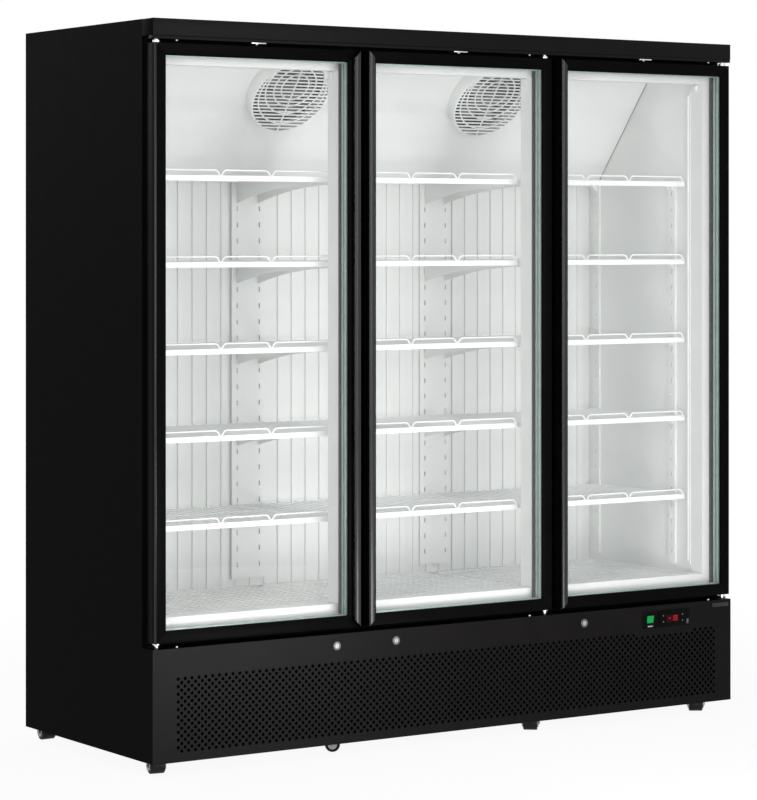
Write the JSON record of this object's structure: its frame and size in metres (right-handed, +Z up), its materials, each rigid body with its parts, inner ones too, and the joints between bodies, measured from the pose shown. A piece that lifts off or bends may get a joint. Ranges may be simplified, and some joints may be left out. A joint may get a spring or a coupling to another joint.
{
  "type": "display freezer",
  "caption": "Upright glass-door display freezer on castors, with hinged triple-glazed doors, wire shelves, a fan evaporator and a perforated plinth with locks.",
  "frame": {"origin": "middle of the footprint, on the floor", "axes": "+Z up, -Y out of the doors, +X to the right seen from the front"},
  "size_m": [1.97, 0.751, 1.99],
  "materials": {
    "black_steel": "fine matt powder coat",
    "satin_black": "satin powder coat",
    "white_steel": "smooth white coat",
    "white_wire": "white dipped wire",
    "foam": "rigid foam",
    "galvanised": "zinc coated sheet",
    "door_black": "black anodised profile",
    "clear_glass": "clear triple glazing",
    "gasket_grey": "magnetic seal",
    "chrome": "polished",
    "bright_steel": "bright zinc",
    "lamp_white": "opal diffuser",
    "control_black": "fine grain",
    "switch_green": "lit translucent",
    "fan_plastic": "moulded",
    "fin_aluminium": "mill finish",
    "castor_zinc": "zinc plated",
    "castor_wheel": "dark tread"
  },
  "bodies": {
    "cabinet": {"left_side_panel": "black_steel", "right_side_panel": "black_steel", "top_panel": "black_steel", "back_panel": "galvanised", "insulation_foam": "foam", "inner_liner": "white_steel", "face_frame": "white_steel", "header_panel": "satin_black", "base_frame": "galvanised", "plinth_frame": "satin_black", "grille_panel": "satin_black", "control_plate": "control_black", "thermostat": "control_black", "lock_barrels": "chrome", "hinge_brackets": "bright_steel", "door_switch_plates": "bright_steel", "evaporator_cover": "white_steel", "fan_guards": "white_wire", "fan_motors": "galvanised", "evaporator_coil": "fin_aluminium", "back_duct_panel": "white_steel", "shelf_uprights": "white_steel", "shelf_brackets": "white_steel", "shelves_left": "white_wire", "shelves_centre": "white_wire", "shelves_right": "white_wire", "led_lamps": "lamp_white", "compressor": "black_steel", "condenser_coil": "fin_aluminium", "cable_inlet": "control_black", "castor_mounts": "castor_zinc", "rear_castor_forks": "castor_zinc"},
    "door_left": {"door_frame_left": "door_black", "door_glass_left": "clear_glass", "door_gasket_left": "gasket_grey"},
    "lock_left": {"lock_plug_left": "chrome"},
    "door_centre": {"door_frame_centre": "door_black", "door_glass_centre": "clear_glass", "door_gasket_centre": "gasket_grey"},
    "lock_centre": {"lock_plug_centre": "chrome"},
    "door_right": {"door_frame_right": "door_black", "door_glass_right": "clear_glass", "door_gasket_right": "gasket_grey"},
    "lock_right": {"lock_plug_right": "chrome"},
    "rocker": {"power_switch": "switch_green"},
    "fan_left": {"evaporator_fan_left": "fan_plastic"},
    "fan_right": {"evaporator_fan_right": "fan_plastic"},
    "fan_condenser": {"condenser_fan": "fan_plastic"},
    "castor_1": {"castor_fork_1": "castor_zinc"},
    "castor_1_wheel": {"castor_wheel_1": "castor_wheel"},
    "castor_2": {"castor_fork_2": "castor_zinc"},
    "castor_2_wheel": {"castor_wheel_2": "castor_wheel"},
    "castor_3": {"castor_fork_3": "castor_zinc"},
    "castor_3_wheel": {"castor_wheel_3": "castor_wheel"},
    "castor_4": {"castor_fork_4": "castor_zinc"},
    "castor_4_wheel": {"castor_wheel_4": "castor_wheel"},
    "rear_1_wheel": {"rear_wheel_1": "castor_wheel"},
    "rear_2_wheel": {"rear_wheel_2": "castor_wheel"},
    "rear_3_wheel": {"rear_wheel_3": "castor_wheel"},
    "rear_4_wheel": {"rear_wheel_4": "castor_wheel"}
  },
  "joints": [
    {"name": "door_left_hinge", "type": "hinge", "parent": "cabinet", "child": "door_left", "pos_m": [-0.9655, -0.3395, 1.1385], "axis": [0, 0, -1], "range_deg": [0, 90], "stiffness_Nm_per_rad": 2, "springref_deg": -11.46},
    {"name": "lock_left_turn", "type": "hinge", "parent": "cabinet", "child": "lock_left", "pos_m": [-0.414, -0.3475, 0.304], "axis": [0, -1, 0], "range_deg": [0, 90]},
    {"name": "door_centre_hinge", "type": "hinge", "parent": "cabinet", "child": "door_centre", "pos_m": [0.3045, -0.3395, 1.1385], "axis": [0, 0, 1], "range_deg": [0, 90], "stiffness_Nm_per_rad": 2, "springref_deg": -11.46},
    {"name": "lock_centre_turn", "type": "hinge", "parent": "cabinet", "child": "lock_centre", "pos_m": [-0.22, -0.3475, 0.304], "axis": [0, -1, 0], "range_deg": [0, 90]},
    {"name": "door_right_hinge", "type": "hinge", "parent": "cabinet", "child": "door_right", "pos_m": [0.9655, -0.3395, 1.1385], "axis": [0, 0, 1], "range_deg": [0, 90], "stiffness_Nm_per_rad": 2, "springref_deg": -11.46},
    {"name": "lock_right_turn", "type": "hinge", "parent": "cabinet", "child": "lock_right", "pos_m": [0.434, -0.3475, 0.304], "axis": [0, -1, 0], "range_deg": [0, 90]},
    {"name": "rocker_tip", "type": "hinge", "parent": "cabinet", "child": "rocker", "pos_m": [0.6765, -0.3535, 0.297], "axis": [-1, 0, 0], "range_deg": [0, 12]},
    {"name": "fan_left_spin", "type": "hinge", "parent": "cabinet", "child": "fan_left", "pos_m": [-0.348, 0.0125, 1.835], "axis": [0, -0.7809, -0.6247], "continuous": true},
    {"name": "fan_right_spin", "type": "hinge", "parent": "cabinet", "child": "fan_right", "pos_m": [0.348, 0.0125, 1.835], "axis": [0, -0.7809, -0.6247], "continuous": true},
    {"name": "fan_condenser_spin", "type": "hinge", "parent": "cabinet", "child": "fan_condenser", "pos_m": [-0.38, -0.1975, 0.196], "axis": [0, -1, 0], "continuous": true},
    {"name": "castor_1_swivel", "type": "hinge", "parent": "cabinet", "child": "castor_1", "pos_m": [-0.935, -0.2735, 0.0515], "axis": [0, 0, 1], "continuous": true},
    {"name": "castor_1_roll", "type": "hinge", "parent": "castor_1", "child": "castor_1_wheel", "pos_m": [-0.93813, -0.29123, 0.021], "axis": [-0.9848, 0.1736, 0], "continuous": true},
    {"name": "castor_2_swivel", "type": "hinge", "parent": "cabinet", "child": "castor_2", "pos_m": [-0.352, -0.2735, 0.0515], "axis": [0, 0, 1], "continuous": true},
    {"name": "castor_2_roll", "type": "hinge", "parent": "castor_2", "child": "castor_2_wheel", "pos_m": [-0.36692, -0.26343, 0.021], "axis": [0.5592, 0.829, 0], "continuous": true},
    {"name": "castor_3_swivel", "type": "hinge", "parent": "cabinet", "child": "castor_3", "pos_m": [0.305, -0.2735, 0.0515], "axis": [0, 0, 1], "continuous": true},
    {"name": "castor_3_roll", "type": "hinge", "parent": "castor_3", "child": "castor_3_wheel", "pos_m": [0.29343, -0.28729, 0.021], "axis": [-0.766, 0.6428, 0], "continuous": true},
    {"name": "castor_4_swivel", "type": "hinge", "parent": "cabinet", "child": "castor_4", "pos_m": [0.917, -0.2735, 0.0515], "axis": [0, 0, 1], "continuous": true},
    {"name": "castor_4_roll", "type": "hinge", "parent": "castor_4", "child": "castor_4_wheel", "pos_m": [0.90694, -0.28842, 0.021], "axis": [-0.829, 0.5592, 0], "continuous": true},
    {"name": "rear_1_roll", "type": "hinge", "parent": "cabinet", "child": "rear_1_wheel", "pos_m": [-0.935, 0.3435, 0.021], "axis": [1, 0, 0], "continuous": true},
    {"name": "rear_2_roll", "type": "hinge", "parent": "cabinet", "child": "rear_2_wheel", "pos_m": [-0.352, 0.3435, 0.021], "axis": [1, 0, 0], "continuous": true},
    {"name": "rear_3_roll", "type": "hinge", "parent": "cabinet", "child": "rear_3_wheel", "pos_m": [0.305, 0.3435, 0.021], "axis": [1, 0, 0], "continuous": true},
    {"name": "rear_4_roll", "type": "hinge", "parent": "cabinet", "child": "rear_4_wheel", "pos_m": [0.917, 0.3435, 0.021], "axis": [1, 0, 0], "continuous": true}
  ]
}
